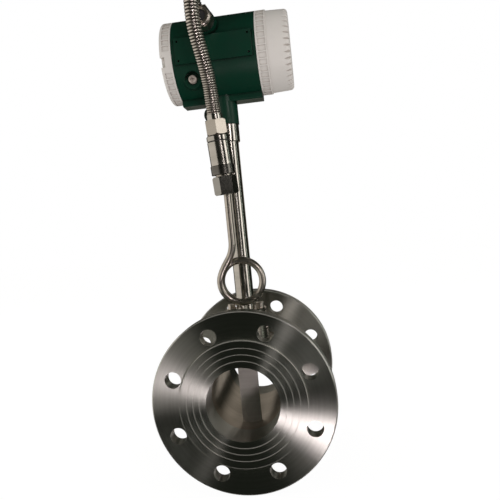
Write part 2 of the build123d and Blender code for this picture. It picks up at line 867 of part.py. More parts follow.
# Terminal cover: short blind cap with two spanner notches in its outer face
blind_rim = shell_left - cover_gap
blind_band = blind_rim - rim_width
blind_inside = terminal_end + terminal_wall
with BuildPart() as terminal_cover:
    with BuildSketch(head_section):
        with BuildLine():
            Polyline(
                (blind_inside, 0),
                (blind_inside, cover_bore_radius),
                (blind_rim + spigot_length, cover_bore_radius),
                (blind_rim + spigot_length, spigot_radius),
                (blind_rim, spigot_radius),
                (blind_rim, shell_radius),
                (terminal_end + terminal_round, shell_radius),
            )
            edge_arc = RadiusArc(
                (terminal_end + terminal_round, shell_radius),
                (terminal_end, shell_radius - terminal_round),
                -terminal_round,
            )
            Polyline(edge_arc @ 1, (terminal_end, 0), (blind_inside, 0))
        make_face()
    revolve(axis=head_axis)
    with BuildSketch(head_section):
        with Locations((blind_rim + seal_from_rim, spigot_radius)):
            Rectangle(seal_groove, 2 * seal_groove_floor)
    revolve(axis=head_axis, mode=Mode.SUBTRACT)
    # The pads stop short of the spanner notches
    pad_pitch = 360 / flute_count
    pad_width = math.pi * shell_dia / flute_count - flute_rib
    half_turn = flute_count // 2
    with BuildSketch(across_head(blind_band)):
        for side in (0, 180):
            for step in range(spanner_flat - 1, half_turn - spanner_flat + 2):
                angle = side + spanner_tilt + step * pad_pitch
                with PolarLocations(shell_radius, 1, start_angle=angle):
                    Rectangle(2 * flute_depth, pad_width)
    extrude(amount=-terminal_flute_length, mode=Mode.SUBTRACT)
    with BuildSketch(across_head(terminal_end)):
        with PolarLocations(shell_radius, 2, start_angle=spanner_tilt):
            Rectangle(2 * spanner_reach, spanner_width)
    extrude(amount=spanner_depth, mode=Mode.SUBTRACT)
terminal_cover.part.label = "terminal_cover"
export_step(terminal_cover.part, "parts/terminal_cover.step")

# Sealing rings in the spigots of the two covers
seal_radius = spigot_radius - seal_groove_floor + seal_side_gap + seal_section / 2
with BuildPart() as display_seal:
    with BuildSketch(head_section):
        with Locations((seal_x, seal_radius)):
            Circle(seal_section / 2)
    revolve(axis=head_axis)
display_seal.part.label = "display_seal"
export_step(display_seal.part, "parts/display_seal.step")

with BuildPart() as terminal_seal:
    with BuildSketch(head_section):
        with Locations((blind_rim + seal_from_rim, seal_radius)):
            Circle(seal_section / 2)
    revolve(axis=head_axis)
terminal_seal.part.label = "terminal_seal"
export_step(terminal_seal.part, "parts/terminal_seal.step")

# Terminal board on the divider, with its block and clamp screws
with BuildPart() as terminal_board:
    with BuildSketch(across_head(divider_left)):
        Circle(terminal_board_dia / 2)
    extrude(amount=-terminal_board_thick)
terminal_board.part.label = "terminal_board"
export_step(terminal_board.part, "parts/terminal_board.step")

block_x = divider_left - terminal_board_thick
way_pitch = terminal_block_wide / terminal_ways
block_up = -terminal_block_high / 4
with BuildPart() as terminal_block:
    with BuildSketch(across_head(block_x)):
        with Locations((0, block_up)):
            Rectangle(terminal_block_wide, terminal_block_high)
    extrude(amount=-terminal_block_deep)
    chamfer(terminal_block.edges().filter_by(Axis.Y).group_by(Axis.X)[0], length=terminal_block_bevel)
    with BuildSketch(across_head(block_x - terminal_block_deep)):
        with Locations((0, block_up)):
            with GridLocations(way_pitch, 0, terminal_ways, 1):
                Circle(terminal_screw_dia / 2 + thread_gap)
    extrude(amount=terminal_block_deep / 2, mode=Mode.SUBTRACT)
terminal_block.part.label = "terminal_block"
export_step(terminal_block.part, "parts/terminal_block.step")

with BuildPart() as terminal_screws:
    with BuildSketch(across_head(block_x - terminal_block_deep / 2)):
        with Locations((0, block_up)):
            with GridLocations(way_pitch, 0, terminal_ways, 1):
                Circle(terminal_screw_dia / 2)
    extrude(amount=-(terminal_block_deep / 2 - terminal_screw_seat))
    with BuildSketch(across_head(block_x - terminal_block_deep + terminal_screw_seat)):
        with Locations((0, block_up)):
            with GridLocations(way_pitch, 0, terminal_ways, 1):
                Rectangle(terminal_slot_length, terminal_slot_width)
    extrude(amount=terminal_slot_depth, mode=Mode.SUBTRACT)
terminal_screws.part.label = "terminal_screws"
export_step(terminal_screws.part, "parts/terminal_screws.step")


def pillars(x_from, x_to):
    """Four spacers on the pillar circle between two planes square to the housing axis."""
    with BuildPart() as spacers:
        with BuildSketch(across_head(x_from)):
            with PolarLocations(pillar_circle / 2, pillar_count, start_angle=180 / pillar_count):
                RegularPolygon(pillar_dia / 2, 6)
        extrude(amount=x_to - x_from)
    return spacers.part


# Power board, main board and the spacers that carry them
with BuildPart() as board_pillars:
    add(pillars(divider_right, power_board_x))
    add(pillars(power_board_x + board_thick, main_board_x))
    add(pillars(main_board_x + board_thick, bezel_x))
board_pillars.part.label = "board_pillars"
export_step(board_pillars.part, "parts/board_pillars.step")

with BuildPart() as power_board:
    with BuildSketch(across_head(power_board_x)):
        Circle(board_dia / 2)
    extrude(amount=board_thick)
    with BuildSketch(across_head(power_board_x + board_thick)):
        for block_place, block_size in power_blocks:
            with Locations(block_place):
                Rectangle(*block_size)
        with Locations(*power_cans):
            Circle(power_can_dia / 2)
    extrude(amount=component_high)
power_board.part.label = "power_board"
export_step(power_board.part, "parts/power_board.step")

with BuildPart() as main_board:
    with BuildSketch(across_head(main_board_x)):
        Circle(board_dia / 2)
    extrude(amount=board_thick)
    with BuildSketch(across_head(main_board_x + board_thick)):
        for chip_place, chip_size in main_chips:
            with Locations(chip_place):
                Rectangle(*chip_size)
    extrude(amount=chip_high)
main_board.part.label = "main_board"
export_step(main_board.part, "parts/main_board.step")

# Display bezel: a tray open towards the boards, with the panel's window and three key holes
bezel_face = bezel_x + bezel_thick
with BuildPart() as display_bezel:
    with BuildSketch(across_head(bezel_x)):
        Circle(board_dia / 2)
    extrude(amount=bezel_thick)
    fillet(display_bezel.edges().group_by(Axis.X)[-1], radius=bezel_round)
    with BuildSketch(across_head(bezel_x)):
        Circle(board_dia / 2 - bezel_wall)
        with PolarLocations(pillar_circle / 2, pillar_count, start_angle=180 / pillar_count):
            Circle(pillar_dia / 2 + pillar_room, mode=Mode.SUBTRACT)
    extrude(amount=bezel_thick - bezel_wall, mode=Mode.SUBTRACT)
    with BuildSketch(across_head(bezel_face)):
        with Locations((0, lcd_up)):
            Rectangle(lcd_wide - 2 * bezel_wall, lcd_high - 2 * bezel_wall)
        with Locations((0, -key_down)):
            with GridLocations(key_pitch, 0, key_count, 1):
                Circle(key_dia / 2 + key_gap)
    extrude(amount=-bezel_wall, mode=Mode.SUBTRACT)
display_bezel.part.label = "display_bezel"
export_step(display_bezel.part, "parts/display_bezel.step")

# Display panel, held against the back of the bezel's face
with BuildPart() as lcd_panel:
    with BuildSketch(across_head(bezel_face - bezel_wall)):
        with Locations((0, lcd_up)):
            Rectangle(lcd_wide, lcd_high)
    extrude(amount=-lcd_thick)
lcd_panel.part.label = "lcd_panel"
export_step(lcd_panel.part, "parts/lcd_panel.step")

# Three setting keys under the display
for key_name, key_side in (("key_left", -1), ("key_middle", 0), ("key_right", 1)):
    with BuildPart() as key:
        with BuildSketch(across_head(bezel_face + key_rise)):
            with Locations((key_side * key_pitch, -key_down)):
                Circle(key_dia / 2)
        extrude(amount=-(bezel_wall + key_rise + key_gap))
        fillet(key.edges().group_by(Axis.X)[-1], radius=key_round)
        with BuildSketch(across_head(bezel_face - bezel_wall - key_gap)):
            with Locations((key_side * key_pitch, -key_down)):
                Circle(key_dia / 2 + 2 * key_gap)
        extrude(amount=-key_flange)
    key.part.label = key_name
    export_step(key.part, f"parts/{key_name}.step")

# Front cable gland: threaded body, dome nut, rubber insert and the blanking pin it ships with
gland_front = entry_tip - gland_hex_thick
nut_front = gland_front - gland_nut_length
with BuildPart() as gland_body:
    with BuildSketch(across_pipe(entry_tip)):
        with Locations((entry_x, entry_z)):
            RegularPolygon(gland_flat / 2, 6, major_radius=False)
    extrude(amount=gland_hex_thick)
    with BuildSketch(across_pipe(entry_tip + gland_spigot_length)):
        with Locations((entry_x, entry_z)):
            Circle(entry_bore / 2 - fit_clear)
    extrude(amount=gland_spigot_length)
    with BuildSketch(across_pipe(gland_front)):
        with Locations((entry_x, entry_z)):
            Circle(gland_neck_dia / 2)
    extrude(amount=gland_nut_length - gland_dome - gland_seal_length)
    with BuildSketch(across_pipe(entry_tip + gland_spigot_length)):
        with Locations((entry_x, entry_z)):
            Circle(gland_body_hole / 2)
    extrude(amount=gland_spigot_length + gland_hex_thick + gland_nut_length, mode=Mode.SUBTRACT)
gland_body.part.label = "gland_body"
export_step(gland_body.part, "parts/gland_body.step")

seal_seat = nut_front + gland_dome + gland_seal_length
with BuildPart() as gland_nut:
    with BuildSketch(across_pipe(gland_front)):
        with Locations((entry_x, entry_z)):
            RegularPolygon(gland_flat / 2, 6, major_radius=False)
    extrude(amount=gland_nut_length)
    gland_axis = Axis((entry_x, 0, entry_z), (0, 1, 0))
    with BuildSketch(Plane(origin=(entry_x, 0, entry_z), x_dir=(1, 0, 0), z_dir=(0, 0, 1))):
        with BuildLine():
            Polyline((0, gland_front), (gland_flat, gland_front), (gland_flat, nut_front + gland_dome))
            Line((gland_flat, nut_front + gland_dome), (gland_flat / 2, nut_front + gland_dome))
            dome_arc = RadiusArc(
                (gland_flat / 2, nut_front + gland_dome),
                (gland_flat / 2 - gland_dome, nut_front),
                gland_dome,
            )
            Polyline(dome_arc @ 1, (0, nut_front), (0, gland_front))
        make_face()
    revolve(axis=gland_axis, mode=Mode.INTERSECT)
    with BuildSketch(across_pipe(gland_front)):
        with Locations((entry_x, entry_z)):
            Circle(gland_neck_dia / 2 + fit_clear)
    extrude(amount=gland_nut_length - gland_dome, mode=Mode.SUBTRACT)
    with BuildSketch(across_pipe(gland_front)):
        with Locations((entry_x, entry_z)):
            Circle(gland_plug_head / 2 + fit_clear)
    extrude(amount=gland_nut_length, mode=Mode.SUBTRACT)
gland_nut.part.label = "gland_nut"
export_step(gland_nut.part, "parts/gland_nut.step")

with BuildPart() as gland_seal:
    with BuildSketch(across_pipe(seal_seat)):
        with Locations((entry_x, entry_z)):
            Circle(gland_seal_dia / 2)
            Circle(gland_hole / 2, mode=Mode.SUBTRACT)
    extrude(amount=seal_seat - nut_front - gland_dome)
gland_seal.part.label = "gland_seal"
export_step(gland_seal.part, "parts/gland_seal.step")

with BuildPart() as gland_plug:
    with BuildSketch(across_pipe(seal_seat)):
        with Locations((entry_x, entry_z)):
            Circle(gland_hole / 2 - fit_clear)
    extrude(amount=seal_seat - nut_front - gland_dome)
    with BuildSketch(across_pipe(nut_front + gland_dome)):
        with Locations((entry_x, entry_z)):
            Circle(gland_plug_head / 2)
    extrude(amount=gland_plug_rise)
gland_plug.part.label = "gland_plug"
export_step(gland_plug.part, "parts/gland_plug.step")

# Rear entry: elbow that takes the end of the metal hose, and its nut
rear_tip = 2 * head_y - entry_tip
with BuildPart() as hose_elbow:
    with BuildSketch(across_pipe(rear_tip)):
        with Locations((entry_x, entry_z)):
            RegularPolygon(gland_flat / 2, 6, major_radius=False)
    extrude(amount=-gland_hex_thick)
    with BuildSketch(across_pipe(rear_tip)):
        with Locations((entry_x, entry_z)):
            Circle(entry_bore / 2 - fit_clear)
    extrude(amount=gland_spigot_length)
    with BuildLine() as elbow_path:
        FilletPolyline(
            (entry_x, rear_tip + gland_hex_thick, entry_z),
            up_elbow(0),
            up_elbow(elbow_leg),
            radius=elbow_turn,
        )
    with BuildSketch(across_pipe(rear_tip + gland_hex_thick)):
        with Locations((entry_x, entry_z)):
            Circle(elbow_dia / 2)
    sweep()
    with BuildSketch(across_pipe(rear_tip)):
        with Locations((entry_x, entry_z)):
            Circle(elbow_bore / 2)
    extrude(amount=gland_spigot_length, mode=Mode.SUBTRACT)
hose_elbow.part.label = "hose_elbow"
export_step(hose_elbow.part, "parts/hose_elbow.step")

with BuildPart() as hose_nut:
    with BuildSketch(Plane(origin=up_elbow(elbow_leg), x_dir=(0, 1, 0), z_dir=elbow_direction)):
        Circle(hose_nut_dia / 2)
        Circle(hose_dia / 2 + fit_clear, mode=Mode.SUBTRACT)
    extrude(amount=hose_nut_length)
    chamfer(hose_nut.edges().sort_by(SortBy.LENGTH)[-2:], length=edge_break)
hose_nut.part.label = "hose_nut"
export_step(hose_nut.part, "parts/hose_nut.step")

# Metal hose: plain tube of straight runs joined by arcs
hose_route = [
    train_point(train_top),
    train_point(train_top + hose_foot_run),
    *hose_points,
    up_elbow(elbow_leg + hose_end_run),
    up_elbow(elbow_leg),
]
hose_radii = corner_radii(hose_route, hose_arc_share)
print("hose radii", [round(radius, 1) for radius in hose_radii])
with BuildPart() as hose_tube:
    with BuildLine() as hose_path:
        FilletPolyline(*hose_route, radius=hose_radii)
    with BuildSketch(up_train(train_top)):
        Circle(hose_dia / 2)
    sweep()
hose_tube.part.label = "hose_tube"
export_step(hose_tube.part, "parts/hose_tube.step")
hose_length = hose_path.wires()[0].length
hose_section = math.pi * hose_dia**2 / 4
print("hose length", round(hose_length, 1))
print("hose volume", round(hose_tube.part.volume), "expected", round(hose_length * hose_section))

# Siphon: leg down from the nut, one loop and a bit, and the lower leg into the body
loop_angles = [
    math.radians(loop_start + (loop_finish - loop_start) * step / loop_steps)
    for step in range(loop_steps + 1)
]
loop_points = [
    (
        loop_x + loop_radius * math.cos(angle),
        siphon_y + loop_pitch * step / loop_steps,
        loop_z + loop_radius * math.sin(angle),
    )
    for step, angle in enumerate(loop_angles)
]
leg_out = loop_points[-1]
tap_x = leg_out[0] + leg_out_shift
tap_y = leg_out[1]
leg_bend = (siphon_x, siphon_y, loop_z + leg_in_rise)
siphon_top = train_bottom + siphon_socket
siphon_route = [
    (siphon_x, siphon_y, siphon_top),
    leg_bend,
    *loop_points,
    (tap_x, tap_y, leg_out[2] - leg_out_drop),
    (tap_x, tap_y, body_radius + tap_length - tap_socket),
]
siphon_radii = corner_radii(siphon_route, siphon_arc_share)
with BuildPart() as siphon_tube:
    with BuildLine() as siphon_path:
        FilletPolyline(*siphon_route, radius=siphon_radii)
    with BuildSketch(Plane.XY.offset(siphon_top)):
        with Locations((siphon_x, siphon_y)):
            Circle(siphon_dia / 2)
            Circle(siphon_bore / 2, mode=Mode.SUBTRACT)
    sweep()
siphon_tube.part.label = "siphon_tube"
export_step(siphon_tube.part, "parts/siphon_tube.step")

# Pressure tapping boss on the body, with the socket that the siphon is welded into
with BuildPart() as siphon_boss:
    with BuildSketch(Plane.XY.offset(body_radius + tap_length)):
        with Locations((tap_x, tap_y)):
            Circle(tap_dia / 2)
    extrude(amount=-(tap_length + body_radius / 2))
    chamfer(siphon_boss.edges().group_by(Axis.Z)[-1], length=tap_chamfer)
    with BuildSketch(across_pipe(0)):
        Circle(body_radius)
    extrude(amount=-face_to_face, mode=Mode.SUBTRACT)
    with BuildSketch(Plane.XY.offset(body_radius + tap_length)):
        with Locations((tap_x, tap_y)):
            Circle(siphon_bore / 2)
    extrude(amount=-(tap_length + body_radius), mode=Mode.SUBTRACT)
    with BuildSketch(Plane.XY.offset(body_radius + tap_length)):
        with Locations((tap_x, tap_y)):
            Circle(siphon_dia / 2 + fit_clear)
    extrude(amount=-tap_socket, mode=Mode.SUBTRACT)
siphon_boss.part.label = "siphon_boss"
export_step(siphon_boss.part, "parts/siphon_boss.step")

# The pressure tap is drilled through the tube below its boss
with BuildPart() as tapped_tube:
    add(body_tube.part)
    with BuildSketch(Plane.XY):
        with Locations((tap_x, tap_y)):
            Circle(siphon_bore / 2)
    extrude(amount=body_dia, mode=Mode.SUBTRACT)
tapped_tube.part.label = "body_tube"
export_step(tapped_tube.part, "parts/body_tube.step")

# Siphon nut
with BuildPart() as siphon_nut:
    with BuildSketch(up_train(0)):
        Circle(nut_flat / math.sqrt(3))
    extrude(amount=nut_length)
    chamfer(siphon_nut.edges().filter_by(GeomType.CIRCLE), length=nut_chamfer)
    with BuildSketch(up_train(0)):
        RegularPolygon(nut_flat / 2, 6, major_radius=False, rotation=nut_turn)
    extrude(amount=nut_length, mode=Mode.INTERSECT)
    with BuildSketch(Plane.XY.offset(siphon_top + fit_clear)):
        with Locations((siphon_x, siphon_y)):
            Circle(siphon_dia / 2 + fit_clear)
    extrude(amount=-2 * nut_length, mode=Mode.SUBTRACT)
    with BuildSketch(up_train(0)):
        Circle(siphon_bore / 2)
    extrude(amount=nut_length, mode=Mode.SUBTRACT)
siphon_nut.part.label = "siphon_nut"
export_step(siphon_nut.part, "parts/siphon_nut.step")

# Threaded nipple between the siphon nut and the sensor
with BuildPart() as sensor_nipple:
    with BuildSketch(up_train(nut_length)):
        Circle(nipple_dia / 2)
        Circle(siphon_bore / 2, mode=Mode.SUBTRACT)
    extrude(amount=nipple_gap)
sensor_nipple.part.label = "sensor_nipple"
export_step(sensor_nipple.part, "parts/sensor_nipple.step")

# Sensor base ring
with BuildPart() as sensor_ring:
    with BuildSketch(up_train(nipple_top)):
        Circle(ring_dia / 2)
    extrude(amount=ring_length)
    chamfer(sensor_ring.edges().filter_by(GeomType.CIRCLE), length=edge_break)
sensor_ring.part.label = "sensor_ring"
export_step(sensor_ring.part, "parts/sensor_ring.step")

# Sensor barrel
with BuildPart() as sensor_barrel:
    with BuildSketch(up_train(ring_top)):
        Circle(sensor_dia / 2)
    extrude(amount=sensor_length)
sensor_barrel.part.label = "sensor_barrel"
export_step(sensor_barrel.part, "parts/sensor_barrel.step")

# Rubber ring under the sensor cap
with BuildPart() as sensor_seal:
    with BuildSketch(up_train(barrel_top)):
        Circle(sensor_dia / 2 - seal_ring_inset)
    extrude(amount=seal_ring_length)
sensor_seal.part.label = "sensor_seal"
export_step(sensor_seal.part, "parts/sensor_seal.step")

# Sensor cap
with BuildPart() as sensor_cap:
    with BuildSketch(up_train(cap_bottom)):
        Circle(sensor_cap_dia / 2)
    extrude(amount=sensor_cap_length)
    cap_rim = sensor_cap.edges().filter_by(GeomType.CIRCLE).sort_by(Axis.Z)[-1]
    chamfer(cap_rim, length=sensor_cap_chamfer)
sensor_cap.part.label = "sensor_cap"
export_step(sensor_cap.part, "parts/sensor_cap.step")

# Hexagon connector of the hose
with BuildPart() as hose_connector:
    with BuildSketch(up_train(cap_top)):
        Circle(connector_flat / math.sqrt(3))
    extrude(amount=connector_length)
    chamfer(hose_connector.edges().filter_by(GeomType.CIRCLE), length=connector_chamfer)
    with BuildSketch(up_train(cap_top)):
        RegularPolygon(connector_flat / 2, 6, major_radius=False, rotation=connector_turn)
    extrude(amount=connector_length, mode=Mode.INTERSECT)
hose_connector.part.label = "hose_connector"
export_step(hose_connector.part, "parts/hose_connector.step")

# Cuff that grips the hose's lower end
with BuildPart() as hose_cuff:
    with BuildSketch(up_train(train_top)):
        Circle(cuff_dia / 2)
        Circle(hose_dia / 2 + fit_clear, mode=Mode.SUBTRACT)
    extrude(amount=cuff_length)
hose_cuff.part.label = "hose_cuff"
export_step(hose_cuff.part, "parts/hose_cuff.step")
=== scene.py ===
import math
import bmesh
import bpy
from mathutils import Matrix, Vector


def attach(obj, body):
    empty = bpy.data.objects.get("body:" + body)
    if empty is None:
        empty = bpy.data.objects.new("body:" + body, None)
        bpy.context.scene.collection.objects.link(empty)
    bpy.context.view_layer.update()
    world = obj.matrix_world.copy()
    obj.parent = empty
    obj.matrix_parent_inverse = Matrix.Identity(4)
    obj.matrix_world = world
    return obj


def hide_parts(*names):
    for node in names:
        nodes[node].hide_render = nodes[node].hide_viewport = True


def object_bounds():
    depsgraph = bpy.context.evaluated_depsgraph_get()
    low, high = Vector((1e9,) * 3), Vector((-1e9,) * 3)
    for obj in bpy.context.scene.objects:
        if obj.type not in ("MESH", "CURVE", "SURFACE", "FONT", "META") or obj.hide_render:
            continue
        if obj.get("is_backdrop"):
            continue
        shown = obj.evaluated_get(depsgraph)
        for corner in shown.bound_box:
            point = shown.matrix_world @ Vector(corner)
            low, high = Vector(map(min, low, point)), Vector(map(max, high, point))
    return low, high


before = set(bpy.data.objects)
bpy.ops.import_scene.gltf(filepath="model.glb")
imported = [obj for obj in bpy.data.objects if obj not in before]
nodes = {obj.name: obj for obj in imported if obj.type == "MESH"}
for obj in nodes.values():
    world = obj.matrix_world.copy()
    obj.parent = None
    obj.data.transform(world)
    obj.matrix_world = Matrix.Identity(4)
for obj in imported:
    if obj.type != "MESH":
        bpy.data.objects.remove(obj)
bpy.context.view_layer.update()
scene = bpy.context.scene
print("frame loaded:", len(nodes), "nodes")


# The camera stands where the photograph was taken, held a little out of level
cameraSetup = {
    "place": (0.0912, -0.5706, 0.1887),
    "yaw": 6.74,
    "pitch": -2.55,
    "roll": 5.64,
    "lens": 39.83,
    "sensor": 36.0,
}


def makeCamera(setup):
    data = bpy.data.cameras.new("photoCamera")
    data.lens = setup["lens"]
    data.sensor_width = setup["sensor"]
    data.clip_start = 0.01
    camera = bpy.data.objects.new("photoCamera", data)
    scene.collection.objects.link(camera)
    turn = (
        Matrix.Rotation(math.radians(setup["yaw"]), 3, "Z")
        @ Matrix.Rotation(math.radians(setup["pitch"]), 3, "X")
        @ Matrix.Rotation(math.radians(setup["roll"]), 3, "Y")
    )
    right, ahead, up = turn.col[0], turn.col[1], turn.col[2]
    place = Matrix((right, up, -ahead)).transposed().to_4x4()
    place.translation = Vector(setup["place"])
    camera.matrix_world = place
    scene.camera = camera


makeCamera(cameraSetup)
print("camera placed")


# Metal hose: strip wound into interlocked ridges round the route from the sensor to the rear elbow
hoseSetup = {
    "diameter": 0.016,
    "beadDepth": 0.0013,
    "beadRound": 0.97,        # how far round the half circle each bead goes
    "lowPitch": 0.0024,       # bead spacing at the sensor
    "highPitch": 0.0034,      # and above the gland
    "pitchGrowsOver": 0.13,
    "ringsPerPitch": 9,
    "sides": 36,
    "route": [
        (-0.0064218, 0.0456422, 0.3091521),
        (-0.0074409, 0.0447016, 0.3270986),
        (-0.0077, 0.041, 0.350),
        (-0.0108, 0.0295, 0.377),
        (-0.0152, 0.0205, 0.403),
        (-0.0154, 0.0178, 0.431),
        (-0.0130, 0.0210, 0.4660),
        (-0.0200, 0.0410, 0.5050),
        (-0.0320, 0.0800, 0.5310),
        (-0.0420, 0.1210, 0.5320),
        (-0.0420, 0.1590, 0.5120),
        (-0.0342, 0.1810, 0.4756),
        (-0.0155078, 0.1810, 0.4336167),
    ],
}


def readRoute(name, points):
    data = bpy.data.curves.new(name, "CURVE")
    data.dimensions = "3D"
    data.resolution_u = 64
    line = data.splines.new("NURBS")
    line.points.add(len(points) - 1)
    for corner, point in zip(line.points, points):
        corner.co = (*point, 1.0)
    line.order_u = 3
    line.use_endpoint_u = True
    route = bpy.data.objects.new(name, data)
    scene.collection.objects.link(route)
    bpy.context.view_layer.update()
    mesh = bpy.data.meshes.new_from_object(route)
    read = [vertex.co.copy() for vertex in mesh.vertices]
    bpy.data.meshes.remove(mesh)
    bpy.data.objects.remove(route)
    return read


def evenSteps(line, stepAt):
    lengths = [0.0]
    for before, after in zip(line, line[1:]):
        lengths.append(lengths[-1] + (after - before).length)
    stops, here, found = [], 0.0, 0
    while here < lengths[-1]:
        while lengths[found + 1] < here:
            found += 1
        share = (here - lengths[found]) / (lengths[found + 1] - lengths[found])
        stops.append((here, line[found].lerp(line[found + 1], share)))
        here += stepAt(here)
    stops.append((lengths[-1], line[-1].copy()))
    return stops


def carriedFrames(points):
    ahead = (points[1] - points[0]).normalized()
    side = ahead.orthogonal().normalized()
    frames = []
    for index, point in enumerate(points):
        before = points[max(index - 1, 0)]
        after = points[min(index + 1, len(points) - 1)]
        newAhead = (after - before).normalized()
        side = (side - newAhead * side.dot(newAhead)).normalized()
        frames.append((point, side, newAhead.cross(side)))
    return frames


def makeHose(setup):
    line = readRoute("hoseRoute", setup["route"])

    def pitchAt(along):
        share = min(along / setup["pitchGrowsOver"], 1.0)
        return setup["lowPitch"] + (setup["highPitch"] - setup["lowPitch"]) * share

    stops = evenSteps(line, lambda along: pitchAt(along) / setup["ringsPerPitch"])
    frames = carriedFrames([point for along, point in stops])
    shape = bmesh.new()
    groove = shape.verts.layers.float.new("groove")
    rings = []
    sides = setup["sides"]
    radius = setup["diameter"] / 2
    for index, (point, side, up) in enumerate(frames):
        ring = []
        for step in range(sides):
            angle = 2 * math.pi * step / sides
            phase = (index / setup["ringsPerPitch"] + step / sides) % 1.0
            # Each turn of the strip is a rounded bead that meets the next in a sharp groove
            across = (2 * phase - 1) * setup["beadRound"]
            depth = setup["beadDepth"] * (1 - math.sqrt(1 - across * across))
            out = side * math.cos(angle) + up * math.sin(angle)
            corner = shape.verts.new(point + out * (radius - depth))
            corner[groove] = across * across
            ring.append(corner)
        rings.append(ring)
    for lower, upper in zip(rings, rings[1:]):
        for step in range(sides):
            after = (step + 1) % sides
            shape.faces.new((lower[step], lower[after], upper[after], upper[step]))
    shape.faces.new(list(reversed(rings[0])))
    shape.faces.new(rings[-1])
    mesh = bpy.data.meshes.new("metalHose")
    shape.to_mesh(mesh)
    shape.free()
    mesh.shade_smooth()
    hose = bpy.data.objects.new("metalHose", mesh)
    scene.collection.objects.link(hose)
    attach(hose, "base")
    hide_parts("hose_tube")
    return hose


metalHose = makeHose(hoseSetup)


# Small helpers for node trees
def addNode(tree, kind, **settings):
    node = tree.nodes.new(kind)
    for name, value in settings.items():
        setattr(node, name, value)
    return node


def mathNode(tree, operation, first, second=None, clamp=False):
    node = addNode(tree, "ShaderNodeMath", operation=operation, use_clamp=clamp)
    for socket, value in zip(node.inputs, (first, second)):
        if value is None:
            continue
        if isinstance(value, (int, float)):
            socket.default_value = value
        else:
            tree.links.new(value, socket)
    return node.outputs[0]


def spread(tree, value, low, high, newLow=0.0, newHigh=1.0):
    node = addNode(tree, "ShaderNodeMapRange", clamp=True)
    tree.links.new(value, node.inputs["Value"])
    for name, number in (("From Min", low), ("From Max", high), ("To Min", newLow), ("To Max", newHigh)):
        node.inputs[name].default_value = number
    return node.outputs["Result"]


def mixColor(tree, factor, first, second, blend="MIX"):
    node = addNode(tree, "ShaderNodeMix", data_type="RGBA", blend_type=blend)
    for socket, value in ((node.inputs[0], factor), (node.inputs[6], first), (node.inputs[7], second)):
        if isinstance(value, (int, float)):
            socket.default_value = value
        elif isinstance(value, tuple):
            socket.default_value = (*value, 1.0)
        else:
            tree.links.new(value, socket)
    return node.outputs[2]


def newGroup(name, inputs, outputs):
    group = bpy.data.node_groups.new(name, "ShaderNodeTree")
    for socketName, kind, value in inputs:
        socket = group.interface.new_socket(socketName, in_out="INPUT", socket_type=kind)
        socket.default_value = value
    for socketName, kind in outputs:
        group.interface.new_socket(socketName, in_out="OUTPUT", socket_type=kind)
    return group, addNode(group, "NodeGroupInput"), addNode(group, "NodeGroupOutput")


def place(tree, group, **values):
    node = addNode(tree, "ShaderNodeGroup", node_tree=group)
    for name, value in values.items():
        socket = node.inputs[name]
        if isinstance(value, (int, float)):
            socket.default_value = value
        else:
            tree.links.new(value, socket)
    return node


# Shared effects
effectSetup = {
    "bevelSamples": 6,
    "edgeRange": (0.99, 0.80),      # agreement of the rounded and the flat normal
    "flangeRings": (0.047, 0.054, 0.061, 0.069, 0.0992),
    "broadShare": 0.11,
    "tintRange": (0.3, 0.7),
    "creviceSamples": 8,
    "creviceRange": (0.95, 0.45),
    "smearRange": (0.42, 0.66),
    "smearBend": 0.6,
    "speckRange": (0.66, 0.74),
    "speckFiner": 22.0,
    "peelShare": 0.5,
    "waveShare": 0.12,
}


def makeSoftEdges():
    group, given, result = newGroup(
        "softEdges",
        [("Radius", "NodeSocketFloat", 0.0005)],
        [("Edge", "NodeSocketFloat")],
    )
    rounded = addNode(group, "ShaderNodeBevel", samples=effectSetup["bevelSamples"])
    group.links.new(given.outputs["Radius"], rounded.inputs["Radius"])
    flat = addNode(group, "ShaderNodeNewGeometry")
    agree = addNode(group, "ShaderNodeVectorMath", operation="DOT_PRODUCT")
    group.links.new(rounded.outputs["Normal"], agree.inputs[0])
    group.links.new(flat.outputs["Normal"], agree.inputs[1])
    edge = spread(group, agree.outputs["Value"], *effectSetup["edgeRange"])
    group.links.new(edge, result.inputs["Edge"])
    return group


def makeTurnedLines():
    group, given, result = newGroup(
        "turnedLines",
        [("Distance", "NodeSocketFloat", 0.0), ("Lines", "NodeSocketFloat", 2500.0)],
        [("Height", "NodeSocketFloat"), ("Tint", "NodeSocketFloat")],
    )
    fine = addNode(group, "ShaderNodeTexNoise", noise_dimensions="1D")
    broad = addNode(group, "ShaderNodeTexNoise", noise_dimensions="1D")
    step = mathNode(group, "MULTIPLY", given.outputs["Distance"], given.outputs["Lines"])
    group.links.new(step, fine.inputs["W"])
    group.links.new(mathNode(group, "MULTIPLY", step, effectSetup["broadShare"]), broad.inputs["W"])
    for node, detail in ((fine, 2.0), (broad, 4.0)):
        node.inputs["Scale"].default_value = 1.0
        node.inputs["Detail"].default_value = detail
    group.links.new(fine.outputs["Fac"], result.inputs["Height"])
    group.links.new(spread(group, broad.outputs["Fac"], *effectSetup["tintRange"]), result.inputs["Tint"])
    return group


def makeRingLines(radii):
    group, given, result = newGroup(
        "ringLines",
        [("Distance", "NodeSocketFloat", 0.0), ("Width", "NodeSocketFloat", 0.0006)],
        [("Line", "NodeSocketFloat")],
    )
    total = None
    for radius in radii:
        away = mathNode(group, "ABSOLUTE", mathNode(group, "SUBTRACT", given.outputs["Distance"], radius))
        share = mathNode(group, "DIVIDE", away, given.outputs["Width"])
        near = mathNode(group, "SUBTRACT", 1.0, share, clamp=True)
        total = near if total is None else mathNode(group, "MAXIMUM", total, near)
    group.links.new(total, result.inputs["Line"])
    return group


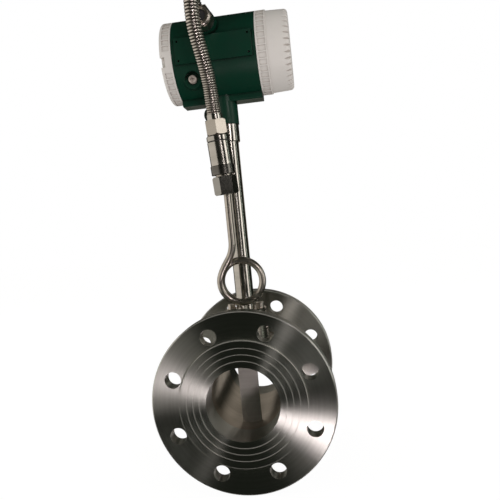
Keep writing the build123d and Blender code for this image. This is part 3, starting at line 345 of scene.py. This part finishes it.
def makeCrevices():
    group, given, result = newGroup(
        "crevices",
        [("Reach", "NodeSocketFloat", 0.004)],
        [("Shade", "NodeSocketFloat")],
    )
    hidden = addNode(group, "ShaderNodeAmbientOcclusion", samples=effectSetup["creviceSamples"])
    group.links.new(given.outputs["Reach"], hidden.inputs["Distance"])
    shade = spread(group, hidden.outputs["AO"], *effectSetup["creviceRange"])
    group.links.new(shade, result.inputs["Shade"])
    return group


def makeHandMarks():
    group, given, result = newGroup(
        "handMarks",
        [("Vector", "NodeSocketVector", (0, 0, 0)), ("Size", "NodeSocketFloat", 30.0)],
        [("Smudge", "NodeSocketFloat"), ("Speck", "NodeSocketFloat")],
    )
    smear = addNode(group, "ShaderNodeTexNoise")
    speck = addNode(group, "ShaderNodeTexNoise")
    for node, detail, factor in ((smear, 5.0, 1.0), (speck, 2.0, effectSetup["speckFiner"])):
        node.inputs["Detail"].default_value = detail
        node.inputs["Distortion"].default_value = effectSetup["smearBend"]
        group.links.new(given.outputs["Vector"], node.inputs["Vector"])
        group.links.new(mathNode(group, "MULTIPLY", given.outputs["Size"], factor), node.inputs["Scale"])
    smudges = spread(group, smear.outputs["Fac"], *effectSetup["smearRange"])
    specks = spread(group, speck.outputs["Fac"], *effectSetup["speckRange"])
    group.links.new(smudges, result.inputs["Smudge"])
    group.links.new(specks, result.inputs["Speck"])
    return group


def makePaintSkin():
    group, given, result = newGroup(
        "paintSkin",
        [("Vector", "NodeSocketVector", (0, 0, 0)), ("Grain", "NodeSocketFloat", 900.0)],
        [("Height", "NodeSocketFloat")],
    )
    peel = addNode(group, "ShaderNodeTexNoise")
    wave = addNode(group, "ShaderNodeTexNoise")
    for node, factor in ((peel, 1.0), (wave, effectSetup["waveShare"])):
        group.links.new(given.outputs["Vector"], node.inputs["Vector"])
        group.links.new(mathNode(group, "MULTIPLY", given.outputs["Grain"], factor), node.inputs["Scale"])
        node.inputs["Detail"].default_value = 2.0
    fine = mathNode(group, "MULTIPLY", peel.outputs["Fac"], effectSetup["peelShare"])
    height = mathNode(group, "ADD", fine, wave.outputs["Fac"])
    group.links.new(height, result.inputs["Height"])
    return group


softEdges = makeSoftEdges()
turnedLines = makeTurnedLines()
ringLines = makeRingLines(effectSetup["flangeRings"])
crevices = makeCrevices()
handMarks = makeHandMarks()
paintSkin = makePaintSkin()


def newMaterial(name):
    material = bpy.data.materials.new(name)
    material.use_nodes = True
    tree = material.node_tree
    shader = tree.nodes["Principled BSDF"]
    where = addNode(tree, "ShaderNodeTexCoord").outputs["Object"]
    return material, tree, shader, where


def bump(tree, shader, height, distance, edgeRadius=0.0):
    node = addNode(tree, "ShaderNodeBump")
    node.inputs["Distance"].default_value = distance
    tree.links.new(height, node.inputs["Height"])
    if edgeRadius:
        rounded = addNode(tree, "ShaderNodeBevel", samples=effectSetup["bevelSamples"])
        rounded.inputs["Radius"].default_value = edgeRadius
        tree.links.new(rounded.outputs["Normal"], node.inputs["Normal"])
    tree.links.new(node.outputs["Normal"], shader.inputs["Normal"])


# Distance from a straight axis, for surfaces turned on a lathe
def fromAxis(tree, where, axis, centre=(0.0, 0.0, 0.0)):
    shift = addNode(tree, "ShaderNodeVectorMath", operation="SUBTRACT")
    tree.links.new(where, shift.inputs[0])
    shift.inputs[1].default_value = centre
    flatten = addNode(tree, "ShaderNodeVectorMath", operation="MULTIPLY")
    flatten.inputs[1].default_value = tuple(0.0 if letter == axis else 1.0 for letter in "XYZ")
    tree.links.new(shift.outputs["Vector"], flatten.inputs[0])
    length = addNode(tree, "ShaderNodeVectorMath", operation="LENGTH")
    tree.links.new(flatten.outputs["Vector"], length.inputs[0])
    return length.outputs["Value"]


def alongAxis(tree, where, axis):
    parts = addNode(tree, "ShaderNodeSeparateXYZ")
    tree.links.new(where, parts.inputs["Vector"])
    return parts.outputs[axis]


steelSetup = {
    "turned": {"light": (0.53, 0.54, 0.50), "dark": (0.48, 0.49, 0.45), "rough": (0.28, 0.33),
               "lines": 3000.0, "brushed": 1.0},
    "machined": {"light": (0.55, 0.51, 0.45), "dark": (0.50, 0.46, 0.40), "rough": (0.24, 0.32),
                 "lines": 900.0, "brushed": 0.2},
    "polished": {"light": (0.62, 0.59, 0.54), "dark": (0.52, 0.50, 0.45), "rough": (0.18, 0.25),
                 "lines": 900.0, "brushed": 0.5},
    "satin": {"light": (0.66, 0.61, 0.54), "dark": (0.56, 0.52, 0.46), "rough": (0.26, 0.34),
              "lines": 900.0, "brushed": 0.2},
    "bore": {"light": (0.52, 0.47, 0.41), "dark": (0.42, 0.38, 0.32), "rough": (0.30, 0.42),
             "lines": 900.0, "brushed": 0.3},
    "bar": {"light": (0.80, 0.78, 0.72), "dark": (0.72, 0.70, 0.64), "rough": (0.44, 0.52),
            "lines": 2500.0, "brushed": 0.5},
    "bright": {"light": (0.74, 0.73, 0.71), "dark": (0.62, 0.61, 0.59), "rough": (0.12, 0.20),
               "lines": 900.0, "brushed": 0.0},
    "dark": {"light": (0.20, 0.19, 0.175), "dark": (0.15, 0.145, 0.13), "rough": (0.22, 0.30),
             "lines": 900.0, "brushed": 0.2},
    "oiled": {"light": (0.42, 0.41, 0.38), "dark": (0.36, 0.35, 0.32), "rough": (0.19, 0.26),
              "lines": 900.0, "brushed": 0.2},
    "smudge": 0.15,
    "smudgeSize": 22.0,
    "roughFromLines": 0.4,
    "grainTurn": 0.25,
    # Painted highlight lines along the turned grooves of the flange faces
    "grooveWidth": 0.00055,
    "grooveGlint": 0.60,
    "grooveGlintColor": (0.62, 0.61, 0.56),
}


def steelMaterial(name, finish, axis, around=False, grooved=False):
    setup = steelSetup[finish]
    material, tree, shader, where = newMaterial(name)
    shader.inputs["Metallic"].default_value = 1.0
    distance = fromAxis(tree, where, axis) if around else alongAxis(tree, where, axis)
    marks = place(tree, turnedLines, Distance=distance, Lines=setup["lines"])
    hands = place(tree, handMarks, Vector=where, Size=steelSetup["smudgeSize"])
    base = mixColor(tree, marks.outputs["Tint"], setup["dark"], setup["light"])
    faint = mathNode(tree, "MULTIPLY", hands.outputs["Smudge"], steelSetup["smudge"])
    color = mixColor(tree, faint, base, setup["dark"])
    low, high = setup["rough"]
    fromLines = (high - low) * steelSetup["roughFromLines"]
    fromHands = (high - low) - fromLines
    rough = mathNode(tree, "ADD",
                     mathNode(tree, "MULTIPLY", marks.outputs["Tint"], fromLines),
                     mathNode(tree, "MULTIPLY", hands.outputs["Smudge"], fromHands))
    rough = mathNode(tree, "ADD", rough, low)
    shader.inputs["Anisotropic"].default_value = setup["brushed"]
    shader.inputs["Anisotropic Rotation"].default_value = steelSetup["grainTurn"]
    turn = addNode(tree, "ShaderNodeTangent", direction_type="RADIAL", axis=axis)
    tree.links.new(turn.outputs["Tangent"], shader.inputs["Tangent"])
    if grooved:
        # Painted highlight: thin bright lines are painted along the tool's grooves and steps, as if they
        # caught light from all round
        rings = place(tree, ringLines, Distance=distance, Width=steelSetup["grooveWidth"])
        bright = mathNode(tree, "MULTIPLY", rings.outputs["Line"], steelSetup["grooveGlint"])
        color = mixColor(tree, bright, color, steelSetup["grooveGlintColor"])
        tree.links.new(mathNode(tree, "SUBTRACT", 1.0, bright), shader.inputs["Metallic"])
    tree.links.new(color, shader.inputs["Base Color"])
    tree.links.new(rough, shader.inputs["Roughness"])
    return material


paintSetup = {
    # edge is a painted highlight colour for rims; deep is a painted shade colour for crevices, with some
    # grime
    "green": {"color": (0.0012, 0.036, 0.019), "shade": (0.0010, 0.030, 0.016), "edge": (0.010, 0.070, 0.045),
              "deep": (0.0, 0.003, 0.001), "edgeSheen": 0.5, "shadeAndGrime": 0.95, "rough": 0.34, "shine": 0.32},
    "cream": {"color": (0.72, 0.70, 0.67), "shade": (0.67, 0.65, 0.62), "edge": (0.88, 0.87, 0.84),
              "deep": (0.50, 0.46, 0.42), "edgeSheen": 0.8, "shadeAndGrime": 0.8, "rough": 0.42, "shine": 0.5},
    "creviceReach": 0.004,
    "edgeRadius": 0.0006,
    "grain": 900.0,
    "peelHeight": 0.00004,
    "smudgeSize": 34.0,
    "smudge": 0.5,
    "roughSpread": 0.10,
}


def paintMaterial(name, finish):
    setup = paintSetup[finish]
    material, tree, shader, where = newMaterial(name)
    hands = place(tree, handMarks, Vector=where, Size=paintSetup["smudgeSize"])
    edges = place(tree, softEdges, Radius=paintSetup["edgeRadius"])
    skin = place(tree, paintSkin, Vector=where, Grain=paintSetup["grain"])
    faint = mathNode(tree, "MULTIPLY", hands.outputs["Smudge"], paintSetup["smudge"])
    base = mixColor(tree, faint, setup["color"], setup["shade"])
    # Painted highlight: edges found by the bevel normal are coloured lighter, towards the edge colour
    edgeSheen = mathNode(tree, "MULTIPLY", edges.outputs["Edge"], setup["edgeSheen"])
    wornAndSheened = mixColor(tree, edgeSheen, base, setup["edge"])
    # Painted shade, with some grime: ambient occlusion darkens the paint towards the deep colour in crevices,
    # joints and under steps
    corners = place(tree, crevices, Reach=paintSetup["creviceReach"])
    shadeAndGrime = mathNode(tree, "MULTIPLY", corners.outputs["Shade"], setup["shadeAndGrime"])
    deep = mixColor(tree, shadeAndGrime, wornAndSheened, setup["deep"])
    tree.links.new(deep, shader.inputs["Base Color"])
    uneven = mathNode(tree, "MULTIPLY", hands.outputs["Smudge"], paintSetup["roughSpread"])
    tree.links.new(mathNode(tree, "ADD", uneven, setup["rough"]), shader.inputs["Roughness"])
    shader.inputs["Specular IOR Level"].default_value = setup["shine"]
    bump(tree, shader, skin.outputs["Height"], paintSetup["peelHeight"], paintSetup["edgeRadius"])
    return material


plainSetup = {
    "rubber": {"color": (0.022, 0.021, 0.020), "shade": (0.045, 0.043, 0.040), "rough": 0.62},
    "plastic": {"color": (0.030, 0.030, 0.032), "shade": (0.050, 0.050, 0.052), "rough": 0.46},
    "board": {"color": (0.010, 0.13, 0.060), "shade": (0.008, 0.09, 0.045), "rough": 0.38},
    "key": {"color": (0.36, 0.37, 0.38), "shade": (0.27, 0.28, 0.29), "rough": 0.50},
    "panel": {"color": (0.30, 0.35, 0.25), "shade": (0.25, 0.30, 0.21), "rough": 0.22},
    "brass": {"color": (0.78, 0.58, 0.28), "shade": (0.60, 0.43, 0.20), "rough": 0.30, "metallic": 1.0},
    "nickel": {"color": (0.66, 0.58, 0.52), "shade": (0.54, 0.47, 0.42), "rough": 0.36, "metallic": 0.4},
    "smudgeSize": 60.0,
    "grain": 2200.0,
    "peelHeight": 0.00002,
    "roughSpread": 0.10,
}


def plainMaterial(name, finish):
    setup = plainSetup[finish]
    material, tree, shader, where = newMaterial(name)
    hands = place(tree, handMarks, Vector=where, Size=plainSetup["smudgeSize"])
    skin = place(tree, paintSkin, Vector=where, Grain=plainSetup["grain"])
    color = mixColor(tree, hands.outputs["Smudge"], setup["color"], setup["shade"])
    tree.links.new(color, shader.inputs["Base Color"])
    uneven = mathNode(tree, "MULTIPLY", hands.outputs["Speck"], plainSetup["roughSpread"])
    tree.links.new(mathNode(tree, "ADD", uneven, setup["rough"]), shader.inputs["Roughness"])
    shader.inputs["Metallic"].default_value = setup.get("metallic", 0.0)
    bump(tree, shader, skin.outputs["Height"], plainSetup["peelHeight"])
    return material


stripSetup = {
    "crown": (0.74, 0.69, 0.62),
    # groove is a painted shade colour for the bead grooves, with some dirt
    "groove": (0.055, 0.035, 0.025),
    "grooveFrom": 0.40,
    "grooveTo": 0.80,
    "rough": (0.26, 0.34),
    "grooveRough": 0.2,
    "smudgeSize": 60.0,
}


def hoseMaterial():
    setup = stripSetup
    material, tree, shader, where = newMaterial("hoseSteel")
    shader.inputs["Metallic"].default_value = 1.0
    hands = place(tree, handMarks, Vector=where, Size=setup["smudgeSize"])
    # Painted shade, with some dirt: the bead grooves are coloured dark where the groove attribute is high
    deep = addNode(tree, "ShaderNodeAttribute", attribute_name="groove")
    grooveShadeAndDirt = spread(tree, deep.outputs["Fac"], setup["grooveFrom"], setup["grooveTo"])
    tree.links.new(mixColor(tree, grooveShadeAndDirt, setup["crown"], setup["groove"]), shader.inputs["Base Color"])
    low, high = setup["rough"]
    wornAndSheened = mathNode(tree, "MULTIPLY", hands.outputs["Smudge"], high - low)
    dull = mathNode(tree, "MULTIPLY", grooveShadeAndDirt, setup["grooveRough"])
    rough = mathNode(tree, "ADD", dull, mathNode(tree, "ADD", wornAndSheened, low))
    tree.links.new(rough, shader.inputs["Roughness"])
    return material


glassSetup = {
    "clear": (0.97, 0.99, 0.98),
    "touched": (0.93, 0.96, 0.94),
    "bending": 1.46,
    "smudgeSize": 24.0,
    "smudgeRough": 0.05,
}


def glassMaterial():
    setup = glassSetup
    material, tree, shader, where = newMaterial("windowGlass")
    hands = place(tree, handMarks, Vector=where, Size=setup["smudgeSize"])
    shader.inputs["Transmission Weight"].default_value = 1.0
    shader.inputs["IOR"].default_value = setup["bending"]
    color = mixColor(tree, hands.outputs["Smudge"], setup["clear"], setup["touched"])
    tree.links.new(color, shader.inputs["Base Color"])
    rough = mathNode(tree, "MULTIPLY", hands.outputs["Smudge"], setup["smudgeRough"])
    tree.links.new(rough, shader.inputs["Roughness"])
    return material


materials = {
    "flange": steelMaterial("turnedFlange", "turned", "Y", around=True, grooved=True),
    "tube": steelMaterial("tubeSteel", "bore", "Y"),
    "bar": steelMaterial("barSteel", "bar", "Z"),
    "stem": steelMaterial("stemSteel", "polished", "Z"),
    "fitting": steelMaterial("fittingSteel", "machined", "Z"),
    "oiled": steelMaterial("oiledSteel", "oiled", "Z"),
    "dark": steelMaterial("darkSteel", "dark", "Z"),
    "satin": steelMaterial("satinSteel", "satin", "Z"),
    "nickel": plainMaterial("dullNickel", "nickel"),
    "bright": steelMaterial("brightSteel", "bright", "Y"),
    "hose": hoseMaterial(),
    "green": paintMaterial("greenEnamel", "green"),
    "cream": paintMaterial("creamCoat", "cream"),
    "rubber": plainMaterial("blackRubber", "rubber"),
    "plastic": plainMaterial("blackPlastic", "plastic"),
    "board": plainMaterial("boardGreen", "board"),
    "key": plainMaterial("keyGrey", "key"),
    "panel": plainMaterial("panelGlass", "panel"),
    "brass": plainMaterial("spacerBrass", "brass"),
    "glass": glassMaterial(),
}

finishes = {
    "flange": ["inlet_flange", "outlet_flange"],
    "tube": ["body_tube", "body_welds"],
    "bar": ["bluff_bar", "sensing_probe"],
    "stem": ["stem_tube", "stem_collar", "sensor_barrel", "sensor_cap", "hose_cuff"],
    "fitting": ["stem_boss", "stem_flange", "siphon_boss", "sensor_nipple", "hose_connector"],
    "satin": ["siphon_tube", "stem_screws", "gland_body", "gland_nut"],
    "nickel": ["ground_screw"],
    "oiled": ["siphon_nut"],
    "dark": ["sensor_ring"],
    "bright": ["lock_screw", "ground_washer", "terminal_screws", "hose_elbow", "hose_nut", "window_ring"],
    "green": ["housing"],
    "cream": ["display_cover", "terminal_cover"],
    "rubber": ["display_seal", "terminal_seal", "window_gasket", "gland_seal", "sensor_seal", "probe_gasket"],
    "plastic": ["display_bezel", "gland_plug", "terminal_block"],
    "board": ["terminal_board", "power_board", "main_board"],
    "key": ["key_left", "key_middle", "key_right"],
    "panel": ["lcd_panel"],
    "brass": ["board_pillars"],
    "glass": ["window_glass"],
}


def dress(node, material):
    node.data.materials.clear()
    node.data.materials.append(material)
    for face in node.data.polygons:
        face.material_index = 0


for finish, names in finishes.items():
    for name in names:
        dress(nodes[name], materials[finish])
metalHose.data.materials.append(materials["hose"])
print("materials on", sum(len(names) for names in finishes.values()), "nodes")


# Studio: pale floor and soft panels of light
studioSetup = {
    "floorDrop": 0.0008,
    "floorReach": 6.0,
    "floorGlow": 0.96,
    "floorShade": 0.08,
    "backdrop": (1.0, 1.0, 1.0),
    "roomAmbient": (0.50, 0.49, 0.47),     # what matt surfaces get from the room
    "roomMirror": (0.015, 0.017, 0.013),   # what polished surfaces see of it
    "middle": (0.0, 0.02, 0.03),
    "lights": [
        # name, place, width, height, radiance, colour
        ("wallLeft", (-1.45, -0.25, 0.20), 3.2, 1.5, 0.70, (1.0, 0.94, 0.87)),
        ("lampLow", (0.33, -1.05, -0.60), 0.20, 0.20, 26.0, (1.0, 0.88, 0.92)),
        ("lampHigh", (0.52, -1.00, 0.62), 0.20, 0.20, 9.0, (1.0, 0.92, 0.90)),
        ("stripFront", (0.64, -1.06, 0.30), 0.07, 0.75, 3.4, (1.0, 0.93, 0.92)),
        ("panelRight", (1.22, -0.42, 0.32), 0.42, 0.9, 1.9, (1.0, 0.96, 0.92)),
        ("stripRight", (1.40, 0.20, 0.35), 0.08, 1.40, 1.6, (0.88, 1.0, 0.90)),
        ("panelBehindLow", (0.0, 1.50, -0.54), 1.3, 0.5, 0.60, (1.0, 0.91, 0.80)),
        ("panelBehindHigh", (0.0, 1.50, 0.30), 1.3, 0.45, 0.50, (1.0, 0.90, 0.78)),
    ],
}


def addLamp(name, spot, target, width, height, radiance, colour):
    data = bpy.data.lights.new(name, "AREA")
    data.shape = "RECTANGLE"
    data.size = width
    data.size_y = height
    data.energy = radiance * math.pi * width * height
    data.color = colour
    lamp = bpy.data.objects.new(name, data)
    scene.collection.objects.link(lamp)
    lamp.location = spot
    lamp.rotation_euler = (Vector(target) - Vector(spot)).to_track_quat("-Z", "Y").to_euler()
    lamp.visible_camera = False


def makeStudio(setup):
    floorMaterial, tree, shader, where = newMaterial("paleFloor")
    shader.inputs["Base Color"].default_value = (setup["floorShade"],) * 3 + (1.0,)
    shader.inputs["Specular IOR Level"].default_value = 0.0
    shader.inputs["Roughness"].default_value = 0.9
    shader.inputs["Emission Color"].default_value = (1.0, 1.0, 1.0, 1.0)
    shader.inputs["Emission Strength"].default_value = setup["floorGlow"]
    mesh = bpy.data.meshes.new("floor")
    reach, level = setup["floorReach"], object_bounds()[0][2] - setup["floorDrop"]
    corners = [(-reach, -reach, level), (reach, -reach, level), (reach, reach, level), (-reach, reach, level)]
    mesh.from_pydata(corners, [], [(0, 1, 2, 3)])
    floor = bpy.data.objects.new("floor", mesh)
    scene.collection.objects.link(floor)
    floor.data.materials.append(floorMaterial)
    floor.visible_glossy = False
    floor.visible_diffuse = False
    floor.visible_shadow = False
    floor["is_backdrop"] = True

    for name, spot, width, height, radiance, colour in setup["lights"]:
        addLamp(name, spot, setup["middle"], width, height, radiance, colour)

    world = bpy.data.worlds.new("studio")
    scene.world = world
    world.use_nodes = True
    tree = world.node_tree
    tree.nodes.clear()
    shades = []
    for key in ("backdrop", "roomAmbient", "roomMirror"):
        shade = addNode(tree, "ShaderNodeBackground")
        shade.inputs["Color"].default_value = (*setup[key], 1.0)
        shades.append(shade.outputs["Background"])
    ray = addNode(tree, "ShaderNodeLightPath")
    inside = addNode(tree, "ShaderNodeMixShader")
    choose = addNode(tree, "ShaderNodeMixShader")
    out = addNode(tree, "ShaderNodeOutputWorld")
    tree.links.new(ray.outputs["Is Diffuse Ray"], inside.inputs["Fac"])
    tree.links.new(shades[2], inside.inputs[1])
    tree.links.new(shades[1], inside.inputs[2])
    tree.links.new(ray.outputs["Is Camera Ray"], choose.inputs["Fac"])
    tree.links.new(inside.outputs["Shader"], choose.inputs[1])
    tree.links.new(shades[0], choose.inputs[2])
    tree.links.new(choose.outputs["Shader"], out.inputs["Surface"])
    scene.view_settings.view_transform = "Standard"


makeStudio(studioSetup)
print("studio lit")
